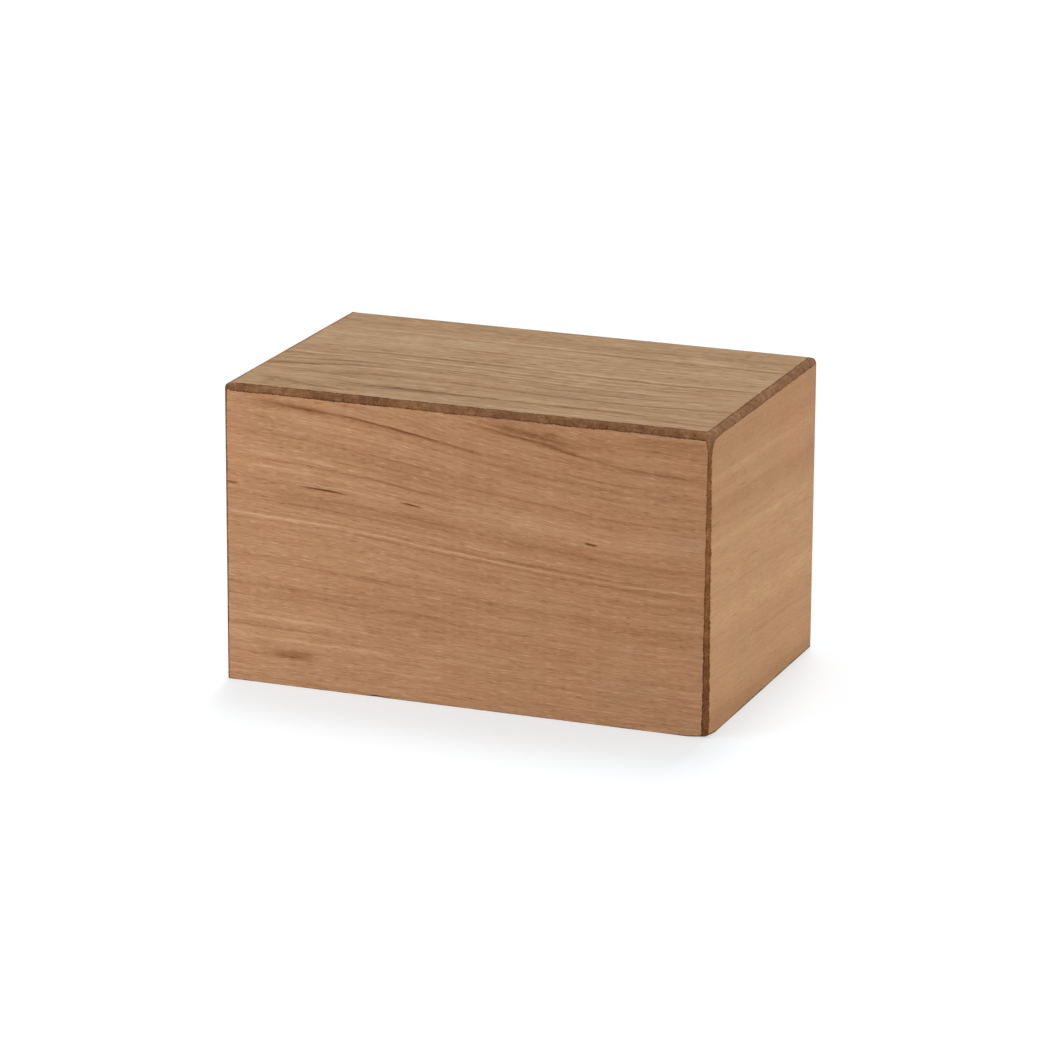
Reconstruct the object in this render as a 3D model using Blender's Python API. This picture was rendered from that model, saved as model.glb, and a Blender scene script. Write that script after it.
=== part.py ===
"""A cremation urn made as a plain wooden box: five veneered boards mitred and glued round an empty
chamber, and a base board let into a rabbet underneath and held by four countersunk screws.

Metres, +Z up. The origin is on the surface that the box stands on, under the middle of the box.
+X runs along the long front, which faces -Y.
"""

import math

import bmesh
import bpy
from mathutils import Vector

# Outside of the closed box
WIDTH = 0.240
DEPTH = 0.151
HEIGHT = 0.144

# Boards
BOARD = 0.012  # top and walls, all cut from one thickness
BASE_BOARD = 0.006

# Radii of the arrises, which are rounded over by sanding
TOP_ARRIS = 0.0034
CORNER_ARRIS = 0.0024
FOOT_ARRIS = 0.0010
BASE_BOARD_ARRIS = 0.0008
ARRIS_FLATS = 5  # flats that stand for the round of a top or corner arris
SMALL_ARRIS_FLATS = 1

# The rabbet that takes the base board
LIP = 0.004  # wall left outside the rabbet, which the box stands on
BASE_RECESS = 0.001  # underside of the base board above the foot of the walls
BASE_CLEARANCE = 0.0005  # round the base board's edge

# Wood screws, with a 90 degree countersunk head
SCREW_FROM_END = 0.034  # from the outside of an end wall to the screw
SCREW_FROM_FACE = 0.009  # from the outside of the front or back wall to the screw
SCREW_LENGTH = 0.016
SCREW_HEAD_RADIUS = 0.0028
SCREW_SHANK_RADIUS = 0.0015
SCREW_TIP_LENGTH = 0.003
SCREW_TIP_RADIUS = 0.0003
SCREW_SUNK = 0.0003  # head below the underside of the base board
SCREW_CLEARANCE = 0.0003  # between a screw and its hole
PILOT_SPARE = 0.001  # pilot hole left empty past the screw's tip
DRIVE_SPAN = 0.0034  # across the cross recess at its mouth
DRIVE_SLOT = 0.0008
DRIVE_DEPTH = 0.0012
DRIVE_TAPER = 0.45  # bottom of the recess as a share of its mouth
ROUND_SIDES = 24

# Between pieces that touch
JOINT_GAP = 0.0003

UP = Vector((0, 0, 1))

# Colours are red, green and blue in linear light, then roughness and metallic
FINISHES = {
    "veneered_board": ((0.42, 0.22, 0.12), 0.55, 0.0),
    "base_board": ((0.30, 0.16, 0.09), 0.65, 0.0),
    "screw_steel": ((0.60, 0.58, 0.54), 0.35, 1.0),
}


def clear_scene():
    for obj in list(bpy.data.objects):
        bpy.data.objects.remove(obj, do_unlink=True)


def material(name):
    found = bpy.data.materials.get(name)
    if found:
        return found
    colour, roughness, metallic = FINISHES[name]
    made = bpy.data.materials.new(name)
    made.use_nodes = True
    shader = made.node_tree.nodes["Principled BSDF"]
    shader.inputs["Base Color"].default_value = (*colour, 1.0)
    shader.inputs["Roughness"].default_value = roughness
    shader.inputs["Metallic"].default_value = metallic
    return made


def place(name, bm, finish=None):
    """Puts a bmesh in the scene as one object. With no finish it is a cutter, left out of renders."""
    bmesh.ops.recalc_face_normals(bm, faces=bm.faces)
    mesh = bpy.data.meshes.new(name)
    bm.to_mesh(mesh)
    bm.free()
    obj = bpy.data.objects.new(name, mesh)
    bpy.context.scene.collection.objects.link(obj)
    if finish:
        mesh.materials.append(material(finish))
    else:
        obj.hide_render = True
        obj.display_type = "WIRE"
    return obj


def subtract(obj, cutter):
    boolean = obj.modifiers.new(cutter.name, "BOOLEAN")
    boolean.operation = "DIFFERENCE"
    boolean.solver = "EXACT"
    boolean.object = cutter


def box_between(low, high):
    """A bmesh box from its lowest to its highest corner."""
    bm = bmesh.new()
    bmesh.ops.create_cube(bm, size=1.0)
    low, high = Vector(low), Vector(high)
    bmesh.ops.scale(bm, vec=high - low, verts=bm.verts)
    bmesh.ops.translate(bm, vec=(low + high) / 2, verts=bm.verts)
    return bm


def slice_off(bm, point, outward, inset=0.0):
    """Cuts away what lies outside a plane, set inset further in, and closes the cut with a flat face."""
    normal = Vector(outward).normalized()
    cut = bmesh.ops.bisect_plane(
        bm,
        geom=[*bm.verts, *bm.edges, *bm.faces],
        plane_co=Vector(point) - normal * inset,
        plane_no=normal,
        clear_outer=True,
    )
    edges = [e for e in cut["geom_cut"] if isinstance(e, bmesh.types.BMEdge)]
    bmesh.ops.holes_fill(bm, edges=edges, sides=0)


def ease(bm, point, one_face, other_face, radius, flats):
    """Rounds a square edge over with flats that touch the round. The point is on the edge, and the
    faces are given by their outward directions."""
    for i in range(flats):
        turn = math.pi / 2 * (i + 1) / (flats + 1)
        c, s = math.cos(turn), math.sin(turn)
        slice_off(bm, point, one_face * c + other_face * s, inset=radius * (c + s - 1))


def mitre(bm, point, outward):
    """Cuts a board on the 45 degree plane that it shares with its neighbour, back by half the joint."""
    slice_off(bm, point, outward, inset=JOINT_GAP / 2)


def long_edges(half_width, half_depth, height):
    """A point on each of the four level edges of a box at one height, with its side's direction."""
    for side in (-1, 1):
        yield Vector((side * half_width, 0, height)), Vector((side, 0, 0))
        yield Vector((0, side * half_depth, height)), Vector((0, side, 0))


def top_board():
    x, y = WIDTH / 2, DEPTH / 2
    bm = box_between((-x, -y, HEIGHT - BOARD), (x, y, HEIGHT))
    for edge, out in long_edges(x, y, HEIGHT):
        mitre(bm, edge, out - UP)
        ease(bm, edge, out, UP, TOP_ARRIS, ARRIS_FLATS)
    return place("top_board", bm, "veneered_board")


def wall_board(name, out, half_length, half_span):
    """One upright wall. out is its outward direction, half_length is half its own length, and
    half_span is from the middle of the box to its outer face."""
    along = UP.cross(out)
    face = out * half_span
    inner = out * (half_span - BOARD)
    corners = [inner - along * half_length, face + along * half_length + UP * HEIGHT]
    low = [min(c[i] for c in corners) for i in range(3)]
    high = [max(c[i] for c in corners) for i in range(3)]
    bm = box_between(low, high)
    for side in (-1, 1):
        end = face + along * side * half_length
        mitre(bm, end, along * side - out)
        ease(bm, end, along * side, out, CORNER_ARRIS, ARRIS_FLATS)
    mitre(bm, face + UP * HEIGHT, UP - out)
    ease(bm, face + UP * HEIGHT, UP, out, TOP_ARRIS, ARRIS_FLATS)
    ease(bm, face, -UP, out, FOOT_ARRIS, SMALL_ARRIS_FLATS)
    return place(name, bm, "veneered_board")


def walls():
    x, y = WIDTH / 2, DEPTH / 2
    return {
        "front_wall": wall_board("front_wall", Vector((0, -1, 0)), x, y),
        "back_wall": wall_board("back_wall", Vector((0, 1, 0)), x, y),
        "left_wall": wall_board("left_wall", Vector((-1, 0, 0)), y, x),
        "right_wall": wall_board("right_wall", Vector((1, 0, 0)), y, x),
    }


def rabbet_cutter():
    """The space let into the foot of the four walls. It is run on below the box."""
    x, y = WIDTH / 2 - LIP, DEPTH / 2 - LIP
    ledge = BASE_RECESS + BASE_BOARD + JOINT_GAP
    return place("rabbet_cutter", box_between((-x, -y, -BOARD), (x, y, ledge)))


def base_board():
    x = WIDTH / 2 - LIP - BASE_CLEARANCE
    y = DEPTH / 2 - LIP - BASE_CLEARANCE
    bm = box_between((-x, -y, BASE_RECESS), (x, y, BASE_RECESS + BASE_BOARD))
    for edge, out in long_edges(x, y, BASE_RECESS):
        ease(bm, edge, -UP, out, BASE_BOARD_ARRIS, SMALL_ARRIS_FLATS)
    return place("base_board", bm, "base_board")


def screw_places():
    """Name and foot of each screw, which goes up into the ledge of the front or back wall."""
    x = WIDTH / 2 - SCREW_FROM_END
    y = DEPTH / 2 - SCREW_FROM_FACE
    return {
        f"{long}_{end}_screw": Vector((sx * x, sy * y, BASE_RECESS + SCREW_SUNK))
        for long, sy in (("front", -1), ("back", 1))
        for end, sx in (("left", -1), ("right", 1))
    }


def turned(profile, at):
    """A bmesh turned about an upright axis at a point. The profile is (radius, height) from bottom to
    top, closed at both ends by a flat disc."""
    bm = bmesh.new()
    rings = []
    for radius, height in profile:
        rings.append(
            [
                bm.verts.new(
                    (
                        at.x + radius * math.cos(math.tau * i / ROUND_SIDES),
                        at.y + radius * math.sin(math.tau * i / ROUND_SIDES),
                        at.z + height,
                    )
                )
                for i in range(ROUND_SIDES)
            ]
        )
    for lower, upper in zip(rings, rings[1:]):
        for i in range(ROUND_SIDES):
            j = (i + 1) % ROUND_SIDES
            bm.faces.new((lower[i], lower[j], upper[j], upper[i]))
    bm.faces.new(list(reversed(rings[0])))
    bm.faces.new(rings[-1])
    return bm


def drive_cutter(name, at):
    """The tapered cross recess in a screw's head, run on below it."""
    span, slot = DRIVE_SPAN / 2, DRIVE_SLOT / 2
    arm = [(span, -slot), (span, slot), (slot, slot)]
    cross = []
    for quarter in range(4):
        c, s = round(math.cos(quarter * math.pi / 2)), round(math.sin(quarter * math.pi / 2))
        cross += [(c * px - s * py, s * px + c * py) for px, py in arm]
    flare = 1 + (1 - DRIVE_TAPER)
    bm = bmesh.new()
    mouth = [bm.verts.new((at.x + flare * px, at.y + flare * py, at.z - DRIVE_DEPTH)) for px, py in cross]
    floor = [
        bm.verts.new((at.x + DRIVE_TAPER * px, at.y + DRIVE_TAPER * py, at.z + DRIVE_DEPTH))
        for px, py in cross
    ]
    bm.faces.new(list(reversed(mouth)))
    bm.faces.new(floor)
    for i in range(len(cross)):
        j = (i + 1) % len(cross)
        bm.faces.new((mouth[i], mouth[j], floor[j], floor[i]))
    return place(name, bm)


def screw(name, at):
    head_height = SCREW_HEAD_RADIUS - SCREW_SHANK_RADIUS
    profile = [
        (SCREW_HEAD_RADIUS, 0.0),
        (SCREW_SHANK_RADIUS, head_height),
        (SCREW_SHANK_RADIUS, SCREW_LENGTH - SCREW_TIP_LENGTH),
        (SCREW_TIP_RADIUS, SCREW_LENGTH),
    ]
    obj = place(name, turned(profile, at), "screw_steel")
    subtract(obj, drive_cutter(name + "_drive_cutter", at))
    obj.data.shade_smooth()
    obj.data.set_sharp_from_angle(angle=math.radians(30))
    return obj


def screw_hole_cutter(name, at):
    """The countersunk hole in the base board and the pilot hole above it, in one."""
    shank = SCREW_SHANK_RADIUS + SCREW_CLEARANCE
    mouth = SCREW_HEAD_RADIUS + SCREW_CLEARANCE * math.sqrt(2) + SCREW_SUNK
    profile = [
        (mouth, -BASE_RECESS - SCREW_SUNK),
        (mouth, -SCREW_SUNK),
        (shank, mouth - shank - SCREW_SUNK),
        (shank, SCREW_LENGTH + PILOT_SPARE),
    ]
    return place(name, turned(profile, at))


def main():
    clear_scene()
    top_board()
    wall = walls()
    base = base_board()
    rabbet = rabbet_cutter()
    for board in wall.values():
        subtract(board, rabbet)
    for name, at in screw_places().items():
        screw(name, at)
        hole = screw_hole_cutter(name + "_hole_cutter", at)
        subtract(base, hole)
        subtract(wall[name.split("_")[0] + "_wall"], hole)


main()
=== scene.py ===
import math

import bmesh
import bpy
import numpy as np
from mathutils import Matrix, Vector


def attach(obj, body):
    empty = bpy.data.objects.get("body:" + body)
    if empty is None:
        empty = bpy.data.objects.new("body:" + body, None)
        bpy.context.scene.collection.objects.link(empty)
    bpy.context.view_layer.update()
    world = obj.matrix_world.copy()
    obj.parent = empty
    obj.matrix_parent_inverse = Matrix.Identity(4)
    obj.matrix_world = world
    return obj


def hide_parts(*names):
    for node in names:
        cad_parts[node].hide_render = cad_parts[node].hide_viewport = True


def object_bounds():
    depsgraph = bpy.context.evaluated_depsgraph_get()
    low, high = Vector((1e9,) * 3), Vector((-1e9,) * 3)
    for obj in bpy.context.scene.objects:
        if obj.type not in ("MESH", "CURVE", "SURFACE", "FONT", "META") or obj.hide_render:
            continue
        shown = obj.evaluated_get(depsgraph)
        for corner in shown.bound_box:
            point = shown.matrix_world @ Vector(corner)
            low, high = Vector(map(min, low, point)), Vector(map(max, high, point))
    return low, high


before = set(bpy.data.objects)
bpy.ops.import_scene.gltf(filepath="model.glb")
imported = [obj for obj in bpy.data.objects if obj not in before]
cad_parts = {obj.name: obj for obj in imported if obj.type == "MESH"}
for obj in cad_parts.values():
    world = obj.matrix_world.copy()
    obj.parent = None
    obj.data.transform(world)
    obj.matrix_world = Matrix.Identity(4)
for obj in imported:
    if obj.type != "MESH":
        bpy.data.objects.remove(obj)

cad_low, cad_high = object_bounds()

MM = 0.001
HALF_X = cad_high.x
HALF_Y = cad_high.y
TOP = cad_high.z

# Boards, as in the CAD.
BOARD = 12 * MM
LIP = 4 * MM
LEDGE = 7.3 * MM
PILOT_RADIUS = 1.8 * MM
PILOT_TOP = 18.3 * MM
SCREW_FROM_END = 34 * MM
SCREW_FROM_FACE = 9 * MM
GLUE_LINE = 0.02 * MM

# Radii of the arrises. Those up the corners have one at the foot and one at the top.
TOP_ARRIS = 3.4 * MM
FRONT_LEFT_ARRIS = (1.3 * MM, 1.8 * MM)
FRONT_RIGHT_ARRIS = (2.75 * MM, 1.6 * MM)
BACK_ARRIS = (2.0 * MM, 1.45 * MM)
FOOT_ARRIS = 0.55 * MM
VENEER_STEP = 0.13 * MM

# The top arris loses this share of its radius at its left end.
LEFT_THINNER = 0.30

# Where arrises meet. LEAST_CORNER is what is left of the outline's radius under a top or foot arris.
LEAST_CORNER = 0.5 * MM
FOOT_CORNER = 3.2 * MM
FRONT_RIGHT_FLARE = 0.75 * MM
FILLET = 0.7 * MM
RIGHT_FRONT_FILLET = 5.2 * MM

# The core shows a little past the front right arris on the front, and starts late on the right wall.
CORE_PAST_FRONT = 0.45 * MM
CORE_SHORT_OF_RIGHT = 0.8 * MM
CORE_SHARE_ON_RIGHT = 0.48

# A small chip in the front foot.
CHIP_X = -43 * MM
CHIP_HALF_WIDTH = 3.4 * MM
CHIP_DEPTH = 0.5 * MM

# Height of the dark band along each wall's foot, partly bare core on the rounded foot and partly
# painted contact shade where the box meets the floor, and how much more there is at the front right
# corner and round the chip. The front left arris stays bare along its edges.
FOOT_CORE_AND_SHADE = {"front": 0.3 * MM, "right": 1.05 * MM, "back": 0.6 * MM, "left": 0.6 * MM}
# The front right corner gets more painted contact shade, over bare core on its blunted foot.
CORNER_CORE_AND_SHADE = 0.8 * MM
CHIP_DARK_BAND = 0.7 * MM
FRONT_LEFT_BARE = 0.22 * MM

# Grid lines beside an edge: 0 to 1 as a share of the arris, 1 to 2 from there to EDGE_ZONE.
EDGE_ZONE = 12 * MM
STEP_SHARE = 0.018
ARRIS_LINES = np.array(
    [0, 0.12, 0.25, 0.38, 0.5, 0.62, 0.74, 0.85, 0.93, 1 - STEP_SHARE, 1]
    + [1.02, 1.06, 1.13, 1.22, 1.36, 1.55, 1.78, 2]
)
FOOT_LINES = np.array([0, 0.08, 0.2, 0.36, 0.55, 0.77, 1, 1.05, 1.13, 1.26, 1.46, 1.72, 2])
CELL = 2.3 * MM

# The grid lines and the arrises' radii depend on each other, so a grid is drawn this many times.
GRID_PASSES = 6

# Edges that turn by more than this stay sharp.
SHARP_TURN = math.radians(28)


# Shape of the arrises, and the grids that carry it.


def smooth(value, low, high):
    """0 below low, 1 above high, and a smooth step between."""
    t = np.clip((value - low) / (high - low), 0, 1)
    return t * t * (3 - 2 * t)


def wave(x, y, z, size, seed):
    """A slow, smooth wobble from -1 to 1, for what was sanded by hand."""
    a = np.sin((x + y * 0.7 + z * 0.3) / size + seed)
    b = np.sin((x * -0.6 + y * 1.1 + z * 0.8) / (size * 0.61) + seed * 2.3)
    c = np.sin((x * 0.4 + y * 0.5 - z * 1.3) / (size * 0.37) + seed * 4.1)
    return (a + 0.7 * b + 0.5 * c) / 2.2


def top_radius(p):
    """Radius of the arris along the top, nearest to each point."""
    x, y, z = np.moveaxis(p, -1, 0)
    from_left = HALF_X + x
    thinner = 1 - LEFT_THINNER * (1 - smooth(from_left, 0.5 * MM, 5 * MM))
    return TOP_ARRIS * thinner * (1 + 0.035 * wave(x, y, 0 * z, 9 * MM, 1.7))


def corner_radius(p):
    """Radius of the upright arris nearest to each point, at the point's height."""
    x, y, z = np.moveaxis(p, -1, 0)
    up = np.clip(z / TOP, 0, 1)
    at_foot = np.where(y > 0, BACK_ARRIS[0], np.where(x > 0, FRONT_RIGHT_ARRIS[0], FRONT_LEFT_ARRIS[0]))
    at_top = np.where(y > 0, BACK_ARRIS[1], np.where(x > 0, FRONT_RIGHT_ARRIS[1], FRONT_LEFT_ARRIS[1]))
    flare = FRONT_RIGHT_FLARE * (1 - smooth(TOP - z, 3 * MM, 8.5 * MM)) * ((x > 0) & (y < 0))
    wobble = 1 + 0.05 * wave(0 * x, 0 * y, z, 11 * MM, 0.9)
    return (at_foot + (at_top - at_foot) * up) * wobble + flare


def foot_radius(p):
    """Radius of the rounding along the foot, nearest to each point."""
    x, y, z = np.moveaxis(p, -1, 0)
    radius = FOOT_ARRIS * (1 + 0.12 * wave(x, y, 0 * z, 8 * MM, 3.1))
    from_corner = np.hypot(HALF_X - x, HALF_Y + y)
    radius = radius + (FOOT_CORNER - radius) * (1 - smooth(from_corner, 2 * MM, 11 * MM))
    chip = np.exp(-(((x - CHIP_X) / CHIP_HALF_WIDTH) ** 2)) * (y < 0)
    return radius + CHIP_DEPTH * chip


def soft_max(one, other, reach):
    """The larger of two, rounded over where they are within reach of each other."""
    return np.maximum(one, other) + np.maximum(reach - np.abs(one - other), 0) ** 2 / (4 * reach)


def corner_left(p, inset):
    """Radius of the box's outline at a corner, once the outline is drawn in by a top or foot arris."""
    return soft_max(corner_radius(p) - inset, LEAST_CORNER, 0.6 * MM)


def unit(vector):
    return vector / np.linalg.norm(vector, axis=-1, keepdims=True)


def rounded_wall(p, side):
    """Moves points of a wall's sharp-edged outer face on to its rounded arrises.

    Also gives how far inside an arris each point is, which is below 0 on the flat of a face.
    """
    top = top_radius(p)
    corner = corner_radius(p)
    foot = foot_radius(p)
    sign = np.stack([np.sign(p[..., 0]), np.sign(p[..., 1])], -1)
    depth = np.array([HALF_X, HALF_Y]) - sign * p[..., :2]
    face, along = (1, 0) if side in ("front", "back") else (0, 1)
    below = TOP - p[..., 2]
    slope = np.arctan2(np.maximum(top - below, 0), top)
    under = np.clip(foot - p[..., 2], 0, None)
    inset = top * (1 - np.cos(slope)) + foot - np.sqrt(foot**2 - under**2)
    left = corner_left(p, inset)
    centre = inset + left
    a = depth[..., along]
    plan = np.zeros(depth.shape)
    plan[..., along] = np.maximum(corner - a, 0)
    plan[..., face] = corner
    plan = unit(plan)
    out = centre[..., None] - left[..., None] * plan
    beyond = centre + (a - corner) * (EDGE_ZONE - centre) / (EDGE_ZONE - corner)
    out[..., along] = np.where(a < corner, out[..., along], np.where(a < EDGE_ZONE, beyond, a))
    z = np.where(below < top, TOP - top + top * np.sin(slope), p[..., 2])
    in_corner, fillet = corner - a, FILLET
    front_right = (p[..., 0] > 0) & (p[..., 1] < 0)
    if side == "front":
        in_corner = in_corner + CORE_PAST_FRONT * front_right
    if side == "right":
        late = (in_corner - CORE_SHORT_OF_RIGHT) * CORE_SHARE_ON_RIGHT
        in_corner = np.where(front_right, late, in_corner)
        fillet = np.where(front_right, RIGHT_FRONT_FILLET, FILLET)
    inside = soft_max(in_corner, top - below, fillet)
    step = VENEER_STEP * np.clip(inside / (STEP_SHARE * np.minimum(corner, top)), 0, 1)
    normal = np.concatenate([plan * np.cos(slope)[..., None], np.sin(slope)[..., None]], -1)
    at = np.concatenate([np.array([HALF_X, HALF_Y]) - out, z[..., None]], -1) - step[..., None] * normal
    at[..., :2] *= np.where(sign == 0, 1, sign)
    return at, inside


def rounded_top(p):
    """The same for the top board."""
    top = top_radius(p)
    sign = np.stack([np.sign(p[..., 0]), np.sign(p[..., 1])], -1)
    depth = np.array([HALF_X, HALF_Y]) - sign * p[..., :2]
    slope = np.arctan2(top[..., None], np.maximum(top[..., None] - depth, 0))
    drawn = np.where(depth < top[..., None], top[..., None] * (1 - np.cos(slope)), depth)
    near = depth.min(-1)
    lean = np.arctan2(top, np.maximum(top - near, 0))
    inset = drawn.min(-1)
    left = corner_left(p, inset) * (1 - smooth(near, 1.5 * top, 3 * top))
    share = np.clip((drawn.max(-1) - inset) / np.maximum(left, 1e-9), 0, 1)
    turn = (1 - share) * math.pi / 4
    toward_x = (depth[..., 0] <= depth[..., 1])[..., None]
    plan = np.stack([np.cos(turn), np.sin(turn)], -1)
    plan = np.where(toward_x, plan, plan[..., ::-1])
    arc = (inset + left)[..., None] - left[..., None] * plan
    out = np.where((share < 1)[..., None], arc, drawn)
    z = np.where(near < top, TOP - top + top * np.sin(lean), TOP)
    inside = soft_max(top - depth[..., 0], top - depth[..., 1], FILLET)
    step = VENEER_STEP * np.clip(inside / (STEP_SHARE * top), 0, 1)
    normal = np.concatenate([plan * np.cos(lean)[..., None], np.sin(lean)[..., None]], -1)
    at = np.concatenate([np.array([HALF_X, HALF_Y]) - out, z[..., None]], -1) - step[..., None] * normal
    at[..., :2] *= np.where(sign == 0, 1, sign)
    return at, inside


def ladder(radius, shares):
    """Distance of each grid line from an edge."""
    return np.where(shares <= 1, shares * radius, radius + (shares - 1) * (EDGE_ZONE - radius))


def middle_lines(low, high):
    """Even grid lines between two edge zones."""
    count = round((high - low) / CELL)
    return np.linspace(low, high, count + 1)[1:-1]


# Each wall in its own terms: along it, in from its outer face, and up.
WALLS = {
    "front": (HALF_X, Matrix(((1, 0, 0, 0), (0, 1, 0, -HALF_Y), (0, 0, 1, 0), (0, 0, 0, 1)))),
    "back": (HALF_X, Matrix(((-1, 0, 0, 0), (0, -1, 0, HALF_Y), (0, 0, 1, 0), (0, 0, 0, 1)))),
    "right": (HALF_Y, Matrix(((0, -1, 0, HALF_X), (1, 0, 0, 0), (0, 0, 1, 0), (0, 0, 0, 1)))),
    "left": (HALF_Y, Matrix(((0, 1, 0, -HALF_X), (-1, 0, 0, 0), (0, 0, 1, 0), (0, 0, 0, 1)))),
}


def in_world(matrix, p):
    m = np.array(matrix)
    return p @ m[:3, :3].T + m[:3, 3]


def in_wall(matrix, p):
    m = np.array(matrix.inverted())
    return p @ m[:3, :3].T + m[:3, 3]


def wall_sheet(side):
    """Sharp-edged grid over a wall's outer face, in the world, with its rows from the foot up."""
    half, matrix = WALLS[side]
    mid_s = middle_lines(-half + EDGE_ZONE, half - EDGE_ZONE)
    mid_z = middle_lines(EDGE_ZONE, TOP - EDGE_ZONE)
    ends = len(ARRIS_LINES)
    feet = len(FOOT_LINES)
    columns = 2 * ends + len(mid_s)
    rows = feet + ends + len(mid_z)
    s = np.tile(np.linspace(-half, half, columns), (rows, 1))
    z = np.tile(np.linspace(0, TOP, rows)[:, None], (1, columns))
    for _ in range(GRID_PASSES):
        p = in_world(matrix, np.stack([s, np.zeros_like(s), z], -1))
        radius = corner_radius(p)
        top = top_radius(p)
        foot = foot_radius(p)
        s = np.concatenate(
            [
                ladder(radius[:, :ends], ARRIS_LINES) - half,
                np.tile(mid_s, (rows, 1)),
                half - ladder(radius[:, -ends:], ARRIS_LINES[::-1]),
            ],
            axis=1,
        )
        z = np.concatenate(
            [
                ladder(foot[:feet], FOOT_LINES[:, None]),
                np.tile(mid_z[:, None], (1, columns)),
                TOP - ladder(top[-ends:], ARRIS_LINES[::-1, None]),
            ],
            axis=0,
        )
    return in_world(matrix, np.stack([s, np.zeros_like(s), z], -1))


def top_sheet():
    """Sharp-edged grid over the top board, rows from the front to the back."""
    mid_x = middle_lines(-HALF_X + EDGE_ZONE, HALF_X - EDGE_ZONE)
    mid_y = middle_lines(-HALF_Y + EDGE_ZONE, HALF_Y - EDGE_ZONE)
    ends = len(ARRIS_LINES)
    columns = 2 * ends + len(mid_x)
    rows = 2 * ends + len(mid_y)
    x = np.tile(np.linspace(-HALF_X, HALF_X, columns), (rows, 1))
    y = np.tile(np.linspace(-HALF_Y, HALF_Y, rows)[:, None], (1, columns))
    for _ in range(GRID_PASSES):
        radius = top_radius(np.stack([x, y, np.full_like(x, TOP)], -1))
        x = np.concatenate(
            [
                ladder(radius[:, :ends], ARRIS_LINES) - HALF_X,
                np.tile(mid_x, (rows, 1)),
                HALF_X - ladder(radius[:, -ends:], ARRIS_LINES[::-1]),
            ],
            axis=1,
        )
        y = np.concatenate(
            [
                ladder(radius[:ends], ARRIS_LINES[:, None]) - HALF_Y,
                np.tile(mid_y[:, None], (1, columns)),
                HALF_Y - ladder(radius[-ends:], ARRIS_LINES[::-1, None]),
            ],
            axis=0,
        )
    return np.stack([x, y, np.full_like(x, TOP)], -1)


# Growth of the wood, in millimetres.


def through(x, points):
    """A smooth curve through (x, y) points."""
    xs, ys = np.array(points, float).T
    steps = np.diff(ys) / np.diff(xs)
    together = steps[:-1] * steps[1:]
    total = steps[:-1] + steps[1:]
    inner = np.where(together > 0, 2 * together / np.where(together > 0, total, 1), 0)
    slopes = np.concatenate([steps[:1], inner, steps[-1:]])
    i = np.clip(np.searchsorted(xs, x) - 1, 0, len(xs) - 2)
    width = xs[i + 1] - xs[i]
    t = np.clip((x - xs[i]) / width, 0, 1)
    rise = (
        (2 * t**3 - 3 * t**2 + 1) * ys[i]
        + (t**3 - 2 * t**2 + t) * width * slopes[i]
        + (3 * t**2 - 2 * t**3) * ys[i + 1]
        + (t**3 - t**2) * width * slopes[i + 1]
    )
    return rise


# Stretch of the grain's pattern against the face that carries it, and where it starts.
WALL_STRETCH = 1.03
TOP_STRETCH_ALONG = 1.014
TOP_STRETCH_ACROSS = 1.035
TOP_START_ACROSS = -7.45

FRONT_SAG = [(0, 0), (34, 2.6), (68, 6.0), (119, 14.5), (162, 20.4), (201, 25.0), (240, 25.9)]


def front_growth(x, down):
    """Lines that sag to the right, drawn together further down."""
    sag = through(x, FRONT_SAG)
    level = (down - sag) / (1 - 0.0062 * sag)
    return x, level, level


EYE_AXIS = [(0, 116), (68, 116.9), (109, 117.8), (153, 119.2), (196, 119.9), (240, 121)]
EYE_SAG = [(0, 0), (85, 0), (128, -0.55), (166, -1), (192, -1), (217, -0.35), (240, 0.35)]
EYE_SAG_REACH = [
    (-30, 0), (0, 0), (9.5, 3.9), (24, 6.5), (31, 6.1), (39, 4.8), (49, 2.4), (60, 0.5), (68, 0)
]
EYE_BLUNT = [(0, 21), (12, 18.7), (25.5, 16.6), (39, 10.2), (51, 6), (68, 1.7), (82, 0.1), (240, 0.1)]

# The sag depends on the height above the eye, and the height on the sag.
EYE_PASSES = 25


def top_growth(x, down):
    """Long flat eye, with the lines above it sagging towards the right."""
    axis = through(x, EYE_AXIS)
    sag = through(x, EYE_SAG)
    up = axis - down
    height = up
    for _ in range(EYE_PASSES):
        height = up - sag * through(height, EYE_SAG_REACH)
    return x, np.hypot(height, through(x, EYE_BLUNT)), height


def right_growth(x, down):
    level = down - 0.045 * x
    return x, level, level


def back_growth(x, down):
    sag = 7 * np.sin(x / 62 + 0.6) + 2.2 * np.sin(x / 27 + 2)
    level = down + sag * np.exp(-down / 90)
    return x, level, level


def left_growth(x, down):
    level = down + 0.03 * x + 1.5 * np.sin(x / 40)
    return x, level, level


def growth(side, p):
    """Along the grain, level of the growth lines, and place across the grain, at points in the world.

    The last two are the same but on the top, where the growth lines close round an eye.
    """
    x, y, z = np.moveaxis(p / MM, -1, 0)
    half_x, half_y, top = HALF_X / MM, HALF_Y / MM, TOP / MM
    down = (top - TOP_ARRIS / MM - z) * WALL_STRETCH
    if side == "front":
        parts = front_growth(x + half_x, down)
    elif side == "back":
        parts = back_growth(half_x - x, down)
    elif side == "right":
        parts = right_growth(y + half_y, down)
    elif side == "left":
        parts = left_growth(half_y - y, down)
    else:
        down = (half_y - y) * TOP_STRETCH_ACROSS + TOP_START_ACROSS
        parts = top_growth((x + half_x) * TOP_STRETCH_ALONG, down)
    return np.stack(parts, -1)


# Shaders.


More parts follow.
